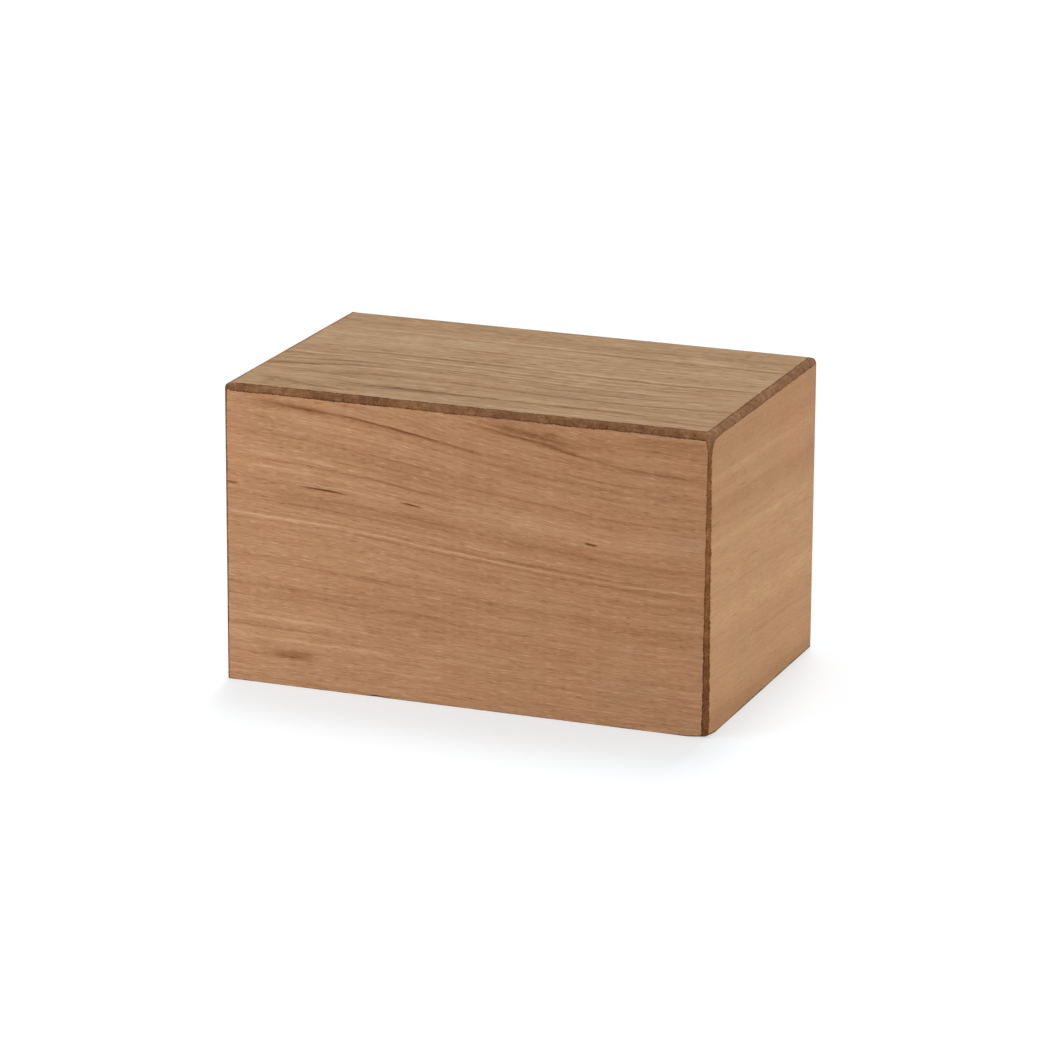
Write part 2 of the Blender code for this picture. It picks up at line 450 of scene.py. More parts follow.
class Shading:
    """Short names for making and joining shader nodes."""

    def __init__(self, tree):
        self.tree = tree

    def node(self, kind, **settings):
        made = self.tree.nodes.new(kind)
        for name, value in settings.items():
            setattr(made, name, value)
        return made

    def feed(self, socket, value):
        if isinstance(value, bpy.types.NodeSocket):
            self.tree.links.new(value, socket)
        else:
            socket.default_value = value

    def math(self, operation, a, b=0.0, clamp=False):
        made = self.node("ShaderNodeMath", operation=operation, use_clamp=clamp)
        self.feed(made.inputs[0], a)
        self.feed(made.inputs[1], b)
        return made.outputs[0]

    def total(self, values):
        result = values[0]
        for value in values[1:]:
            result = self.math("ADD", result, value)
        return result

    def step(self, value, low, high, to_low=0.0, to_high=1.0):
        made = self.node("ShaderNodeMapRange", interpolation_type="SMOOTHSTEP")
        for socket, given in zip(made.inputs, (value, low, high, to_low, to_high)):
            self.feed(socket, given)
        return made.outputs[0]

    def vector(self, x, y, z):
        made = self.node("ShaderNodeCombineXYZ")
        for socket, given in zip(made.inputs, (x, y, z)):
            self.feed(socket, given)
        return made.outputs[0]

    def mapped(self, vector, scale):
        made = self.node("ShaderNodeMapping")
        made.inputs["Scale"].default_value = scale
        self.feed(made.inputs[0], vector)
        return made.outputs[0]

    def noise(self, vector, scale, detail=2.0, roughness=0.5):
        """Noise about 0."""
        made = self.node("ShaderNodeTexNoise")
        self.feed(made.inputs["Vector"], vector)
        made.inputs["Scale"].default_value = scale
        made.inputs["Detail"].default_value = detail
        made.inputs["Roughness"].default_value = roughness
        return self.math("SUBTRACT", made.outputs[0], 0.5)

    def streaks(self, along, level, length, width, seed, detail=2.0, roughness=0.5):
        """Noise drawn out along the grain. length and width are in millimetres."""
        x = self.math("DIVIDE", along, length)
        y = self.math("DIVIDE", level, width)
        return self.noise(self.vector(x, y, seed), 1.0, detail, roughness)

    def colours(self, value, stops):
        made = self.node("ShaderNodeValToRGB")
        ramp = made.color_ramp
        while len(ramp.elements) < len(stops):
            ramp.elements.new(0.5)
        for element, (position, colour) in zip(ramp.elements, stops):
            element.position = position
            element.color = (*colour, 1)
        self.feed(made.inputs[0], value)
        return made.outputs[0]

    def mix(self, share, a, b, blend="MIX"):
        made = self.node("ShaderNodeMix", data_type="RGBA", blend_type=blend)
        self.feed(made.inputs[0], share)
        self.feed(made.inputs[6], a if isinstance(a, bpy.types.NodeSocket) else (*a, 1))
        self.feed(made.inputs[7], b if isinstance(b, bpy.types.NodeSocket) else (*b, 1))
        return made.outputs[2]

    def bump(self, height, strength, distance):
        made = self.node("ShaderNodeBump")
        made.inputs["Strength"].default_value = strength
        made.inputs["Distance"].default_value = distance
        self.feed(made.inputs["Height"], height)
        return made.outputs[0]


def new_material(name):
    """A material with its Principled shader, ready to be fed."""
    made = bpy.data.materials.new(name)
    made.use_nodes = True
    shader = made.node_tree.nodes["Principled BSDF"]
    return made, Shading(made.node_tree), shader


def line_group():
    """Node group: how strongly a growth line shows at a level and a place along the grain."""
    tree = bpy.data.node_groups.new("growth_line", "ShaderNodeTree")
    for name in ("Level", "Along", "Centre", "Half width", "Start", "End", "Fade"):
        tree.interface.new_socket(name, in_out="INPUT", socket_type="NodeSocketFloat")
    tree.interface.new_socket("Weight", in_out="OUTPUT", socket_type="NodeSocketFloat")
    s = Shading(tree)
    given = s.node("NodeGroupInput").outputs
    off = s.math("DIVIDE", s.math("SUBTRACT", given["Level"], given["Centre"]), given["Half width"])
    off = s.math("ADD", off, s.math("MULTIPLY", s.math("MINIMUM", off, 0.0), 1.4))
    across = s.math("EXPONENT", s.math("MULTIPLY", s.math("MULTIPLY", off, off), -1.0))
    begun = s.step(given["Along"], given["Start"], s.math("ADD", given["Start"], given["Fade"]))
    ended = s.step(given["Along"], s.math("SUBTRACT", given["End"], given["Fade"]), given["End"], 1.0, 0.0)
    weight = s.math("MULTIPLY", across, s.math("MULTIPLY", begun, ended))
    s.feed(s.node("NodeGroupOutput").inputs[0], weight)
    return tree


GROWTH_LINE = line_group()

VENEER_TONES = [
    (0.0, (0.105, 0.036, 0.010)),
    (0.25, (0.235, 0.095, 0.030)),
    (0.5, (0.418, 0.212, 0.101)),
    (0.75, (0.560, 0.325, 0.175)),
    (1.0, (0.680, 0.440, 0.270)),
]
CORE_TONES = [
    (0.0, (0.070, 0.023, 0.006)),
    (0.45, (0.200, 0.089, 0.034)),
    (0.75, (0.290, 0.150, 0.072)),
    (1.0, (0.420, 0.250, 0.145)),
]


def core_parts(s, more=()):
    """Colour and height of the stained, speckled board core. more is added to its tone."""
    place = s.node("ShaderNodeTexCoord").outputs["Object"]
    speckle = s.noise(place, 1500, 3.0, 0.7)
    fibre = s.noise(place, 260, 3.0, 0.6)
    patch = s.noise(place, 45, 2.0)
    tone = s.total(
        [
            s.math("MULTIPLY", speckle, 1.3),
            s.math("MULTIPLY", fibre, 0.9),
            s.math("MULTIPLY", patch, 0.5),
            0.5,
            *more,
        ]
    )
    return s.colours(tone, CORE_TONES), speckle


def growth_mark(s, level, along, mark):
    """How much a mark changes the tone."""
    centre, half_width, start, end, fade, tone, *rise = mark
    line = s.node("ShaderNodeGroup", node_tree=GROWTH_LINE)
    if rise:
        from_start = s.math("SUBTRACT", along, float(start))
        level = s.math("SUBTRACT", level, s.math("MULTIPLY", from_start, rise[0]))
    given = (level, along, float(centre), float(half_width), float(start), float(end), float(fade))
    for socket, value in zip(line.inputs, given):
        s.feed(socket, value)
    return s.math("MULTIPLY", line.outputs[0], float(tone))


def all_marks(s, level, along, across, marks, side_marks):
    """How much all the marks of a face change the tone."""
    lines = [growth_mark(s, level, along, mark) for mark in marks]
    if side_marks:
        above = s.step(across, -1.5, 1.5)
        below = s.math("SUBTRACT", 1.0, above)
        for where, mark in side_marks:
            shown = growth_mark(s, level, along, mark)
            lines.append(s.math("MULTIPLY", shown, above if where == "above" else below))
    return s.total(lines)


def stained_core(s, side, border):
    """Colour and height of the core on the arrises, and where it shows."""
    arris = s.node("ShaderNodeAttribute", attribute_name="arris").outputs["Fac"]
    place = s.node("ShaderNodeTexCoord").outputs["Object"]
    ragged = s.math("MULTIPLY", s.noise(place, 620, 3.0, 0.6), 1.1)
    ragged = s.math("ADD", ragged, s.math("MULTIPLY", s.noise(place, 150, 2.0), 0.7))
    worn = s.math("ADD", arris, ragged)
    cut = s.step(worn, -0.06, 0.10)
    in_border = s.math("MULTIPLY", s.step(worn, -0.05, 0.25), s.step(worn, 0.35, 1.0, 1.0, 0.0))

    split = s.node("ShaderNodeSeparateXYZ")
    s.feed(split.inputs[0], place)
    x, y, z = split.outputs
    at_right = s.step(x, HALF_X - 6 * MM, HALF_X - 2 * MM)
    at_front = s.step(y, 8.5 * MM - HALF_Y, 4.5 * MM - HALF_Y)
    at_corner = s.math("MULTIPLY", at_right, at_front)
    toward_foot = s.math("MULTIPLY", at_corner, s.step(z, 75 * MM, 15 * MM))
    if side == "top":
        at_left = s.step(x, 7 * MM - HALF_X, 3 * MM - HALF_X)
        at_back = s.step(y, HALF_Y - 6.5 * MM, HALF_Y - 2.5 * MM)
        far_edge = s.math("MAXIMUM", at_left, at_back)
        kept = s.math("MULTIPLY", in_border, s.math("SUBTRACT", 1.0, far_edge))
        in_border = s.math("SUBTRACT", kept, s.math("MULTIPLY", far_edge, 0.35))
    darker = [
        s.math("MULTIPLY", in_border, -border),
        s.math("MULTIPLY", toward_foot, -0.16),
        s.math("MULTIPLY", s.math("SUBTRACT", at_front, at_corner), -0.14),
    ]
    core, speckle = core_parts(s, darker)
    redder = s.math("MULTIPLY", at_corner, s.step(z, TOP - 2 * MM, TOP - 8 * MM))
    core = s.mix(redder, core, s.mix(1.0, core, (0.98, 0.85, 0.72), "MULTIPLY"))
    return core, speckle, cut


def veneer_material(side, marks, seed, amounts, tint, border, coarse=1.0, side_marks=()):
    """Satin veneer, with the dark core where "arris" is above 0.

    A mark is (level, half width, start, end, fade, tone). All are in millimetres but the tone, which
    is darker below 0 and lighter above. A seventh number is how fast its level rises along the grain.
    side_marks are marks on one side of the top's eye, as ("above" or "below", mark).
    amounts are the shares of broad bands, growth rings, fine streaks, pores and light dashes. tint
    multiplies the veneer's colour and partly paints light into it, as the top's painted grey sheen. border
    is how much darker the core is next to the veneer, and coarse is how coarse the streaks are.
    """
    made, s, shader = new_material("veneer_" + side)
    grain = s.node("ShaderNodeAttribute", attribute_name="grain").outputs["Vector"]
    split = s.node("ShaderNodeSeparateXYZ")
    s.feed(split.inputs[0], grain)
    along, straight, across = split.outputs
    drift = s.math("MULTIPLY", s.streaks(along, across, 34.0, 14.0, seed + 0.5), 2.2)
    shiver = s.math("MULTIPLY", s.streaks(along, across, 5.0, 1.6, seed + 0.7), 0.45)
    level = s.total([straight, drift, shiver])
    height = s.total([across, drift, shiver])

    broad = s.streaks(along, height, 150.0, 9.0 * coarse, seed + 1.0, 2.0)
    medium = s.streaks(along, height, 60.0, 2.4 * coarse, seed + 2.0, 2.0)
    fine = s.streaks(along, height, 14.0, 0.9 * coarse, seed + 3.0, 2.0, 0.6)
    dash = s.streaks(along, height, 4.5 * coarse, 0.55 * coarse, seed + 4.0, 1.0)
    glint = s.streaks(along, height, 5.5 * coarse, 0.6 * coarse, seed + 5.0, 1.0)
    pores = s.step(dash, 0.06, 0.22)
    lights = s.step(glint, 0.06, 0.22)
    mottle = s.noise(s.vector(along, across, seed + 6.0), 0.055, 2.0)

    broad_share, medium_share, fine_share, pore_share, light_share = amounts
    broken = s.math("ADD", 1.0, s.math("MULTIPLY", fine, 2.4))
    tone = s.total(
        [
            s.math("MULTIPLY", broad, broad_share),
            s.math("MULTIPLY", medium, medium_share),
            s.math("MULTIPLY", fine, fine_share),
            s.math("MULTIPLY", pores, -pore_share),
            s.math("MULTIPLY", lights, light_share),
            s.math("MULTIPLY", mottle, 0.16),
            s.math("MULTIPLY", all_marks(s, level, along, across, marks, side_marks), broken),
            0.02,
        ]
    )
    place_in_ramp = s.math("ADD", s.math("MULTIPLY", tone, 0.5), 0.5, clamp=True)
    skin = s.colours(place_in_ramp, VENEER_TONES)
    warmth = s.noise(s.vector(along, across, seed + 8.0), 0.035, 2.0)
    warmer = s.mix(1.0, skin, (1.02, 0.98, 0.97), "MULTIPLY")
    skin = s.mix(s.step(warmth, -0.2, 0.2), skin, warmer)
    # The tint partly paints light into the colour: on the top it is a painted grey sheen.
    skin = s.mix(1.0, skin, tint, "MULTIPLY")

    core, speckle, cut = stained_core(s, side, border)
    s.feed(shader.inputs["Base Color"], s.mix(cut, skin, core))
    satin = s.total([s.math("MULTIPLY", fine, -0.25), s.math("MULTIPLY", pores, 0.14), 0.53])
    s.feed(shader.inputs["Roughness"], s.math("ADD", satin, s.math("MULTIPLY", cut, 0.10)))
    relief = s.total([s.math("MULTIPLY", pores, -1.0), s.math("MULTIPLY", fine, 0.8)])
    fuzz = s.math("MULTIPLY", s.math("MULTIPLY", speckle, 3.0), cut)
    relief = s.math("ADD", s.math("MULTIPLY", relief, s.math("SUBTRACT", 1.0, cut)), fuzz)
    s.feed(shader.inputs["Normal"], s.bump(relief, 0.35, 0.05 * MM))
    shader.inputs["IOR"].default_value = 1.45
    shader.inputs["Specular IOR Level"].default_value = 0.14
    return made


def core_material(name, tint, gloss):
    """Bare board: mitres, lip, ledge and the inside of the box."""
    made, s, shader = new_material(name)
    core, speckle = core_parts(s)
    s.feed(shader.inputs["Base Color"], s.mix(1.0, core, tint, "MULTIPLY"))
    s.feed(shader.inputs["Roughness"], s.math("ADD", s.math("MULTIPLY", speckle, 0.3), gloss))
    s.feed(shader.inputs["Normal"], s.bump(speckle, 0.4, 0.08 * MM))
    return made


def base_material():
    """Brown stained base board with a faint straight grain."""
    made, s, shader = new_material("base_board")
    split = s.node("ShaderNodeSeparateXYZ")
    s.feed(split.inputs[0], s.node("ShaderNodeTexCoord").outputs["Object"])
    along = s.math("MULTIPLY", split.outputs[0], 1000.0)
    across = s.math("MULTIPLY", split.outputs[1], 1000.0)
    broad = s.streaks(along, across, 110.0, 9.0, 40.0)
    fine = s.streaks(along, across, 22.0, 0.8, 41.0)
    dash = s.step(s.streaks(along, across, 5.0, 0.5, 42.0), 0.1, 0.3)
    tone = s.total(
        [
            s.math("MULTIPLY", broad, 0.8),
            s.math("MULTIPLY", fine, 0.8),
            s.math("MULTIPLY", dash, -0.3),
            0.5,
        ]
    )
    stops = [
        (0.1, (0.110, 0.055, 0.030)),
        (0.5, (0.270, 0.150, 0.085)),
        (0.9, (0.400, 0.250, 0.150)),
    ]
    s.feed(shader.inputs["Base Color"], s.colours(tone, stops))
    s.feed(shader.inputs["Roughness"], s.math("ADD", s.math("MULTIPLY", fine, 0.3), 0.62))
    s.feed(shader.inputs["Normal"], s.bump(s.math("SUBTRACT", fine, dash), 0.4, 0.06 * MM))
    return made


def steel_material():
    """Zinc-plated screw, turned and lightly scratched."""
    made, s, shader = new_material("screw_steel")
    place = s.node("ShaderNodeTexCoord").outputs["Object"]
    cloud = s.noise(place, 900, 3.0)
    scratch = s.noise(s.mapped(place, (1, 6, 1)), 2600, 2.0)
    tone = s.total([s.math("MULTIPLY", cloud, 0.8), s.math("MULTIPLY", scratch, 0.5), 0.5])
    stops = [(0.2, (0.42, 0.40, 0.36)), (0.8, (0.70, 0.68, 0.62))]
    s.feed(shader.inputs["Base Color"], s.colours(tone, stops))
    s.feed(shader.inputs["Roughness"], s.math("ADD", s.math("MULTIPLY", cloud, 0.4), 0.36))
    s.feed(shader.inputs["Normal"], s.bump(scratch, 0.3, 0.02 * MM))
    shader.inputs["Metallic"].default_value = 1.0
    return made


def fleck(level_of, x, down, half_length, half_width, tone):
    """A short mark at a place given across the face."""
    level = float(level_of(np.array(float(x)), np.array(float(down)))[1])
    return (level, half_width, x - half_length, x + half_length, half_length * 0.8, tone)


def front_marks():
    """Growth lines, then dark flecks and the brown smudges."""
    marks = [
        (1.8, 1.2, 14, 150, 30, -0.36),
        (1.6, 0.6, 50, 112, 22, -0.34),
        (1.8, 1.0, 140, 245, 40, -0.18),
        (1.4, 2.4, 8, 60, 18, -0.32),
        (-13.2, 1.3, 112, 180, 22, -0.40, 0.03),
        (-11.4, 1.2, 150, 245, 25, -0.36, 0.055),
        (-15.8, 2.8, 125, 185, 22, -0.32, 0.03),
        (-17.0, 4.5, 120, 215, 30, -0.20),
        (-27.0, 4.0, 195, 245, 15, -0.24),
        (-22.0, 1.2, 170, 245, 20, -0.20, 0.04),
        (6.5, 0.7, 60, 190, 40, -0.12),
        (11.9, 0.8, -10, 120, 40, -0.14),
        (14.5, 2.4, -10, 90, 40, 0.08),
        (17.9, 0.7, -10, 150, 40, -0.16),
        (22.1, 0.8, -10, 240, 40, -0.20),
        (25.3, 0.6, 10, 110, 30, -0.16),
        (27.8, 1.3, -10, 90, 40, 0.26),
        (30.6, 0.7, 5, 130, 30, -0.24),
        (34.3, 1.7, -10, 85, 35, 0.38),
        (36.6, 0.6, 40, 125, 20, -0.22),
        (38.9, 1.2, -10, 120, 40, 0.20),
        (33.0, 5.5, 60, 250, 40, 0.14),
        (46.0, 4.0, 10, 250, 40, -0.18),
        (51.0, 0.6, -10, 120, 30, -0.16),
        (53.5, 1.2, -10, 200, 40, 0.12),
        (56.5, 0.9, -10, 200, 50, 0.12),
        (57.2, 0.7, -10, 245, 40, -0.22),
        (59.0, 0.7, -10, 250, 30, 0.38),
        (60.9, 0.8, -10, 220, 50, -0.20),
        (64.5, 0.6, -10, 95, 30, -0.14),
        (82.3, 0.9, 30, 170, 40, -0.16),
        (75.0, 9.0, -10, 110, 40, 0.05),
        (110.5, 1.0, -10, 75, 25, 0.18),
        (115.5, 0.7, -10, 70, 20, -0.14),
        (120.8, 1.4, -10, 95, 30, 0.20),
        (136.3, 0.8, 20, 80, 15, -0.16),
        (139.0, 1.5, -10, 60, 20, 0.12),
        (131.0, 5.0, 110, 260, 50, -0.05),
        (128.0, 60.0, -80, 330, 60, 0.09),
    ]
    flecks = [
        (49.8, 44.1, 15, 0.6, -1.05),
        (55, 44.5, 8, 0.5, -0.5),
        (94, 46.7, 7.2, 0.75, -1.25),
        (182.5, 56.3, 4.2, 0.75, -1.25),
        (3.0, 44.7, 5.5, 0.55, -0.9),
        (201, 89.8, 1.2, 0.5, -0.5),
        (177, 132, 2.4, 0.5, -0.5),
        (34, 127.3, 17, 3.0, -0.42),
        (33, 128.8, 11, 1.6, -0.20),
        (163, 5, 6, 1.5, -0.22),
    ]
    return marks + [fleck(front_growth, *given) for given in flecks]


def top_marks():
    """Marks of the whole top, and those on one side of the eye."""
    eye = [
        (9.6, 1.9, 36, 250, 12, -0.26),
        (12.0, 2.4, 36, 110, 12, -0.12),
        (5.0, 2.4, 60, 240, 20, 0.08),
        (0.0, 30.0, -30, 270, 20, -0.10),
    ]
    by_side = [
        ("below", (9.8, 1.8, 60, 130, 20, -0.18)),
        ("below", (9.4, 1.8, 152, 212, 16, -0.24)),
        ("above", (9.6, 1.3, 90, 235, 25, -0.14)),
        ("above", (23.6, 1.9, -20, 72, 18, -0.42)),
        ("above", (23.8, 1.6, 60, 250, 25, -0.26)),
        ("above", (20.0, 2.0, -20, 240, 25, 0.12)),
        ("above", (27.4, 1.3, 60, 220, 25, -0.16)),
        ("above", (30.7, 1.5, -20, 250, 20, -0.24)),
        ("above", (33.4, 1.1, -20, 250, 20, 0.14)),
        ("above", (39.0, 1.5, -20, 250, 20, -0.24)),
        ("above", (41.6, 1.1, 40, 250, 20, 0.12)),
        ("above", (44.0, 1.3, -20, 250, 20, -0.15)),
        ("above", (49.0, 1.5, 15, 250, 20, -0.36)),
        ("above", (51.6, 1.1, 15, 250, 20, 0.20)),
        ("above", (54.2, 1.1, 60, 240, 20, -0.12)),
        ("above", (58.0, 1.2, 140, 235, 20, -0.14)),
        ("above", (61.0, 1.2, 20, 250, 20, -0.14)),
        ("above", (65.0, 1.2, 150, 230, 20, -0.14)),
        ("above", (69.8, 1.4, 60, 215, 20, -0.24)),
        ("above", (72.6, 1.1, 60, 215, 20, 0.18)),
        ("above", (76.0, 1.1, 10, 200, 20, -0.12)),
        ("above", (80.5, 1.1, 90, 180, 20, -0.10)),
        ("above", (88.6, 1.4, 10, 250, 20, -0.22)),
        ("above", (91.8, 1.2, 10, 250, 20, 0.22)),
        ("above", (106.0, 30.0, -30, 270, 20, -0.07)),
        ("below", (22.0, 1.3, 5, 70, 12, -0.26)),
        ("below", (15.0, 1.2, 200, 250, 12, -0.24)),
    ]
    return eye, by_side


RIGHT_MARKS = [
    (-6.0, 26.0, -30, 190, 20, -0.12),
    (66.0, 42.0, -30, 190, 20, 0.07),
    (19.0, 2.6, -20, 180, 20, 0.12),
    (34.0, 9.0, -20, 180, 20, -0.12),
    (52.0, 3.5, -20, 180, 20, 0.10),
    (76.0, 1.2, -20, 120, 25, -0.10),
    (88.0, 7.0, -20, 180, 20, 0.12),
    (97.0, 0.8, -20, 110, 25, -0.12),
    (108.0, 1.2, 20, 180, 25, -0.10),
    (136.0, 12.0, -20, 180, 20, -0.17),
    (29.8, 0.5, 38, 52, 5, -0.30),
    (68.0, 0.5, 48, 74, 8, -0.16),
    (60.0, 0.5, 82, 118, 10, -0.20),
    (22.5, 0.4, 26, 38, 4, -0.22),
    (41.5, 0.5, -3, 13, 3, -0.35),
]
BACK_MARKS = [
    (12.0, 1.2, 20, 200, 40, -0.18),
    (26.0, 2.0, -10, 250, 30, 0.10),
    (41.0, 1.2, -10, 250, 30, -0.14),
    (58.0, 0.7, -10, 250, 30, 0.16),
    (60.0, 0.8, -10, 180, 30, -0.14),
    (84.0, 5.0, -10, 250, 30, -0.08),
    (104.0, 1.1, 50, 250, 40, -0.14),
    (121.0, 3.0, -10, 250, 30, 0.08),
    (47.0, 0.5, 60, 72, 5, -0.6),
    (96.0, 0.5, 150, 158, 3, -0.6),
]
LEFT_MARKS = [
    (15.0, 2.5, -20, 180, 20, 0.10),
    (30.0, 5.0, -20, 180, 20, -0.10),
    (55.0, 1.1, -20, 180, 20, -0.12),
    (70.0, 5.0, -20, 180, 20, 0.10),
    (92.0, 1.0, -20, 140, 30, -0.12),
    (118.0, 7.0, -20, 180, 20, -0.10),
    (63.0, 0.5, 88, 98, 4, -0.5),
]
EYE_MARKS, TOP_SIDE_MARKS = top_marks()
# Each tint matches a face's colour as it shows under this light, so it partly paints light in. The top's
# is a painted sheen, the grey reflection of the bright surroundings; the front's is darker and the right's
# less blue.
VENEERS = {
    "front": veneer_material(
        "front",
        front_marks(),
        seed=11.0,
        amounts=(0.40, 0.60, 0.58, 0.26, 0.34),
        tint=(0.811, 0.812, 0.824),
        border=0.24,
    ),
    "top": veneer_material(
        "top",
        EYE_MARKS,
        seed=23.0,
        amounts=(0.45, 0.72, 0.8, 0.3, 0.35),
        # Painted sheen: the grey reflection of the bright surroundings on the top.
        tint=(0.882, 1.075, 1.15),
        border=0.25,
        coarse=1.55,
        side_marks=TOP_SIDE_MARKS,
    ),
    "right": veneer_material(
        "right",
        RIGHT_MARKS,
        seed=37.0,
        amounts=(0.25, 0.20, 0.24, 0.12, 0.10),
        tint=(0.991, 1.011, 0.893),
        border=0.15,
    ),
    "back": veneer_material(
        "back",
        BACK_MARKS,
        seed=51.0,
        amounts=(0.5, 0.5, 0.60, 0.28, 0.18),
        tint=(1, 1, 1),
        border=0.2,
    ),
    "left": veneer_material(
        "left",
        LEFT_MARKS,
        seed=67.0,
        amounts=(0.4, 0.4, 0.45, 0.20, 0.12),
        tint=(1, 1, 1),
        border=0.2,
    ),
}
MITRE = core_material("board_core", (1.0, 1.0, 1.0), 0.7)
LINING = core_material("board_inside", (1.9, 2.1, 2.3), 0.75)


# Boards.


class Board:
    """Collects a board's closed surface and makes the piece."""

    def __init__(self, side):
        self.side = side
        self.mesh = bmesh.new()
        self.grain = self.mesh.verts.layers.float_vector.new("grain")
        self.arris = self.mesh.verts.layers.float.new("arris")

    def sheet(self, sharp, at, inside):
        """The outer face, as rows of vertices."""
        marked = growth(self.side, sharp)
        rows = []
        for row_at, row_grain, row_inside in zip(at, marked, inside):
            row = []
            for place, given, depth in zip(row_at, row_grain, row_inside):
                vertex = self.mesh.verts.new(place)
                vertex[self.grain] = given
                vertex[self.arris] = depth / MM
                row.append(vertex)
            rows.append(row)
        for lower, upper in zip(rows, rows[1:]):
            for i in range(len(lower) - 1):
                self.face(lower[i], lower[i + 1], upper[i + 1], upper[i])
        return rows

    def point(self, place):
        return self.mesh.verts.new(place)

    def face(self, *vertices, material=0):
        made = self.mesh.faces.new(vertices)
        made.material_index = material
        return made

    def piece(self, name):
        bmesh.ops.recalc_face_normals(self.mesh, faces=self.mesh.faces)
        for face in self.mesh.faces:
            face.smooth = True
        for edge in self.mesh.edges:
            if edge.calc_face_angle(0) > SHARP_TURN:
                edge.smooth = False
        data = bpy.data.meshes.new(name)
        self.mesh.to_mesh(data)
        self.mesh.free()
        for material in (VENEERS[self.side], MITRE, LINING):
            data.materials.append(material)
        made = bpy.data.objects.new(name, data)
        bpy.context.scene.collection.objects.link(made)
        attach(made, "root")
        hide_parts(name)
        return made


def foot_band_and_shade(side, p, inside):
    """Adds the foot's dark band, partly painted contact shade, to how far inside an arris each point is.
    """
    x, y, z = np.moveaxis(p, -1, 0)
    # Painted contact shade: the dark core colour is drawn up to this height along the foot.
    height = FOOT_CORE_AND_SHADE[side] * (1 + 0.35 * wave(x, y, 0 * z, 7 * MM, 5.3))
    if side == "front":
        height = height + CHIP_DARK_BAND * np.exp(-(((x - CHIP_X) / (4.2 * MM)) ** 2))
    from_corner = np.hypot(HALF_X - x, HALF_Y + y)
    # More painted contact shade at the front right corner.
    height = height + CORNER_CORE_AND_SHADE * np.exp(-((from_corner / (10 * MM)) ** 2))
    near_left = (HALF_X + x < 6 * MM) & (y < 0)
    bare = FRONT_LEFT_BARE * smooth(TOP - z, 7 * MM, 12 * MM) * near_left
    return np.maximum(inside - bare, height - z)


def hole(board, centre, matrix, corners, bottom_z, top_z):
    """Fills a rectangle with a pilot hole in it. corners are its six vertices, in order round it."""
    sides = 24
    ring = []
    roof = []
    for i in range(sides):
        turn = 2 * math.pi * i / sides
        s = centre[0] + PILOT_RADIUS * math.cos(turn)
        t = centre[1] + PILOT_RADIUS * math.sin(turn)
        ring.append(board.point(matrix @ Vector((s, t, bottom_z))))
        roof.append(board.point(matrix @ Vector((s, t, top_z))))
    for i in range(sides):
        j = (i + 1) % sides
        board.face(ring[i], ring[j], roof[j], roof[i], material=1)
    board.face(*roof, material=1)
    front_left, front_mid, front_right, back_right, back_mid, back_left = corners
    quarter = sides // 4
    right = [ring[i % sides] for i in range(3 * quarter, 5 * quarter + 1)]
    left = [ring[i] for i in range(quarter, 3 * quarter + 1)]
    board.face(front_mid, front_right, back_right, back_mid, *reversed(right), material=1)
    board.face(back_mid, back_left, front_left, front_mid, *reversed(left), material=1)


def wall(side):
    """One wall: its rounded outer face, the lip, the ledge, the inside and the mitres."""
    half, matrix = WALLS[side]
    board = Board(side)
    sharp = wall_sheet(side)
    at, inside = rounded_wall(sharp, side)
    local = in_wall(matrix, at)
    local[:, 0, 0] += GLUE_LINE
    local[:, -1, 0] -= GLUE_LINE
    local[-1, :, 2] -= GLUE_LINE
    rows = board.sheet(sharp, in_world(matrix, local), foot_band_and_shade(side, sharp, inside))

    def line(depth, z, cuts=()):
        """Vertices along the wall at one depth, from mitre to mitre."""
        reach = half - depth - GLUE_LINE
        return [board.point(matrix @ Vector((s, depth, z))) for s in (-reach, *cuts, reach)]

    screw = half - SCREW_FROM_END
    reach = 4 * MM
    cuts = ()
    if side in ("front", "back"):
        cuts = (-screw - reach, -screw, -screw + reach, screw - reach, screw, screw + reach)
    lip = line(LIP, 0)
    outer = line(LIP, LEDGE, cuts)
    inner = line(BOARD, LEDGE, cuts)
    top = line(BOARD, TOP - BOARD - GLUE_LINE)
    board.face(*rows[0], lip[1], lip[0], material=1)
    board.face(lip[0], lip[1], *reversed(outer), material=1)
    board.face(*inner, top[1], top[0], material=2)
    board.face(*rows[-1], top[1], top[0], material=1)
    for end in (0, -1):
        column = [row[end] for row in rows]
        board.face(*column, top[end], inner[end], outer[end], lip[end], material=1)
    if cuts:
        board.face(outer[0], outer[1], inner[1], inner[0], material=1)
        board.face(outer[3], outer[4], inner[4], inner[3], material=1)
        board.face(outer[6], outer[7], inner[7], inner[6], material=1)
        for first, s in ((1, -screw), (4, screw)):
            corners = [*outer[first : first + 3], *reversed(inner[first : first + 3])]
            hole(board, (s, SCREW_FROM_FACE), matrix, corners, LEDGE, PILOT_TOP)
    else:
        board.face(*outer, *reversed(inner), material=1)
    return board.piece(side + "_wall")


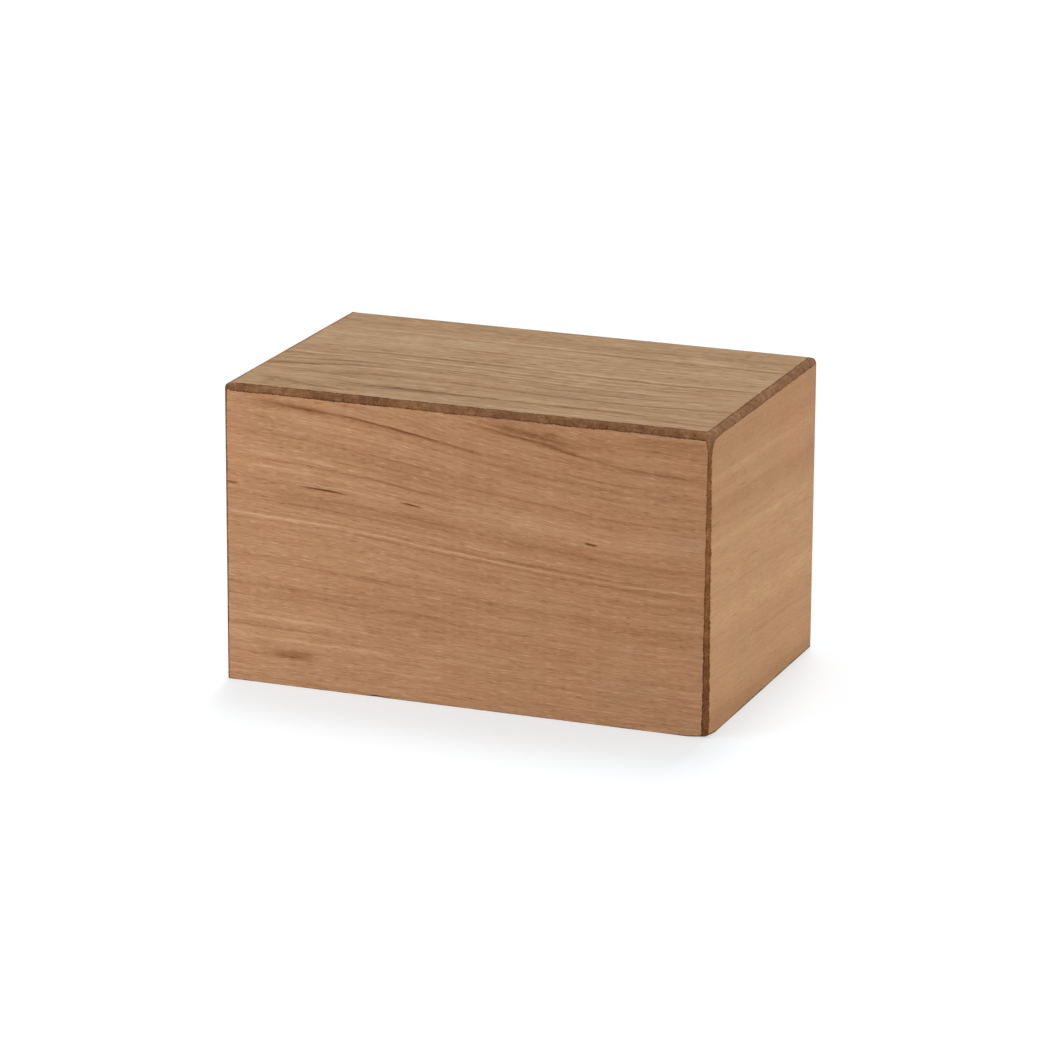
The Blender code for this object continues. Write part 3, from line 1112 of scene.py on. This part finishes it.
def top():
    """The top board, mitred on all four sides."""
    board = Board("top")
    sharp = top_sheet()
    at, inside = rounded_top(sharp)
    at[:, 0, 0] += GLUE_LINE
    at[:, -1, 0] -= GLUE_LINE
    at[0, :, 1] += GLUE_LINE
    at[-1, :, 1] -= GLUE_LINE
    rows = board.sheet(sharp, at, inside)
    x = HALF_X - BOARD - GLUE_LINE
    y = HALF_Y - BOARD - GLUE_LINE
    signs = ((-1, -1), (1, -1), (1, 1), (-1, 1))
    under = [board.point((sx * x, sy * y, TOP - BOARD)) for sx, sy in signs]
    board.face(*under, material=2)
    board.face(*rows[0], under[1], under[0], material=1)
    board.face(*rows[-1], under[2], under[3], material=1)
    board.face(*[row[0] for row in rows], under[3], under[0], material=1)
    board.face(*[row[-1] for row in rows], under[2], under[1], material=1)
    return board.piece("top_board")


for side in WALLS:
    wall(side)
top()


def finish_cad(name, material):
    """Gives a CAD node that stays in view its own finish."""
    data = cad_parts[name].data
    data.materials.clear()
    data.materials.append(material)


finish_cad("base_board", base_material())
STEEL = steel_material()
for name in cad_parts:
    if name.endswith("_screw"):
        finish_cad(name, STEEL)


# Floor, light and camera.


def floor():
    """A pale floor that is white but for the soft shadow on it."""
    reach = 9.0
    data = bpy.data.meshes.new("floor")
    corners = [(-reach, -reach, 0), (reach, -reach, 0), (reach, reach, 0), (-reach, reach, 0)]
    data.from_pydata(corners, [], [(0, 1, 2, 3)])
    made = bpy.data.objects.new("floor", data)
    bpy.context.scene.collection.objects.link(made)
    material, s, shader = new_material("floor")
    shader.inputs["Base Color"].default_value = (0.443, 0.469, 0.488, 1)
    shader.inputs["Roughness"].default_value = 1.0
    shader.inputs["Specular IOR Level"].default_value = 0.0
    shader.inputs["Emission Color"].default_value = (1, 1, 1, 1)
    shader.inputs["Emission Strength"].default_value = 0.534
    data.materials.append(material)


def area_light(name, place, target, size, power):
    """An oval lamp that points at target. size is its width and height."""
    data = bpy.data.lights.new(name, "AREA")
    data.shape = "ELLIPSE"
    data.size, data.size_y = size
    data.energy = power
    made = bpy.data.objects.new(name, data)
    made.location = place
    made.rotation_euler = (Vector(target) - Vector(place)).to_track_quat("-Z", "Y").to_euler()
    bpy.context.scene.collection.objects.link(made)


def camera():
    """The camera that was fitted to the photo."""
    data = bpy.data.cameras.new("camera")
    data.sensor_width = 36
    data.lens = 175.695
    data.clip_end = 50
    right = Vector((0.931759, 0.363058, 0.003657))
    up = Vector((-0.105522, 0.261147, 0.959514))
    back = Vector((0.347404, -0.894422, 0.281637))
    place = Vector((0.84274, -2.16714, 0.75045))
    made = bpy.data.objects.new("camera", data)
    made.matrix_world = Matrix.Translation(place) @ Matrix((right, up, back)).transposed().to_4x4()
    bpy.context.scene.collection.objects.link(made)
    bpy.context.scene.camera = made


# Name, place, target, size and power.
LIGHTS = [
    ("left_window", (-0.52, -0.50, 0.19), (0, -0.06, 0.08), (0.4, 0.3), 2.5),
    ("right_window", (1.5, -0.1, 0.35), (0.1, 0, 0.07), (1.0, 0.8), 5.0),
    ("overhead", (-0.55, 3.3, 8.144), (-0.55, 3.3, 0), (2.3, 4.3), 395.0),
]

floor()
for light in LIGHTS:
    area_light(*light)
camera()
world = bpy.data.worlds.new("studio")
world.use_nodes = True
world.node_tree.nodes["Background"].inputs["Color"].default_value = (1, 1, 1, 1)
world.node_tree.nodes["Background"].inputs["Strength"].default_value = 0.60
bpy.context.scene.world = world
bpy.context.scene.view_settings.view_transform = "Standard"
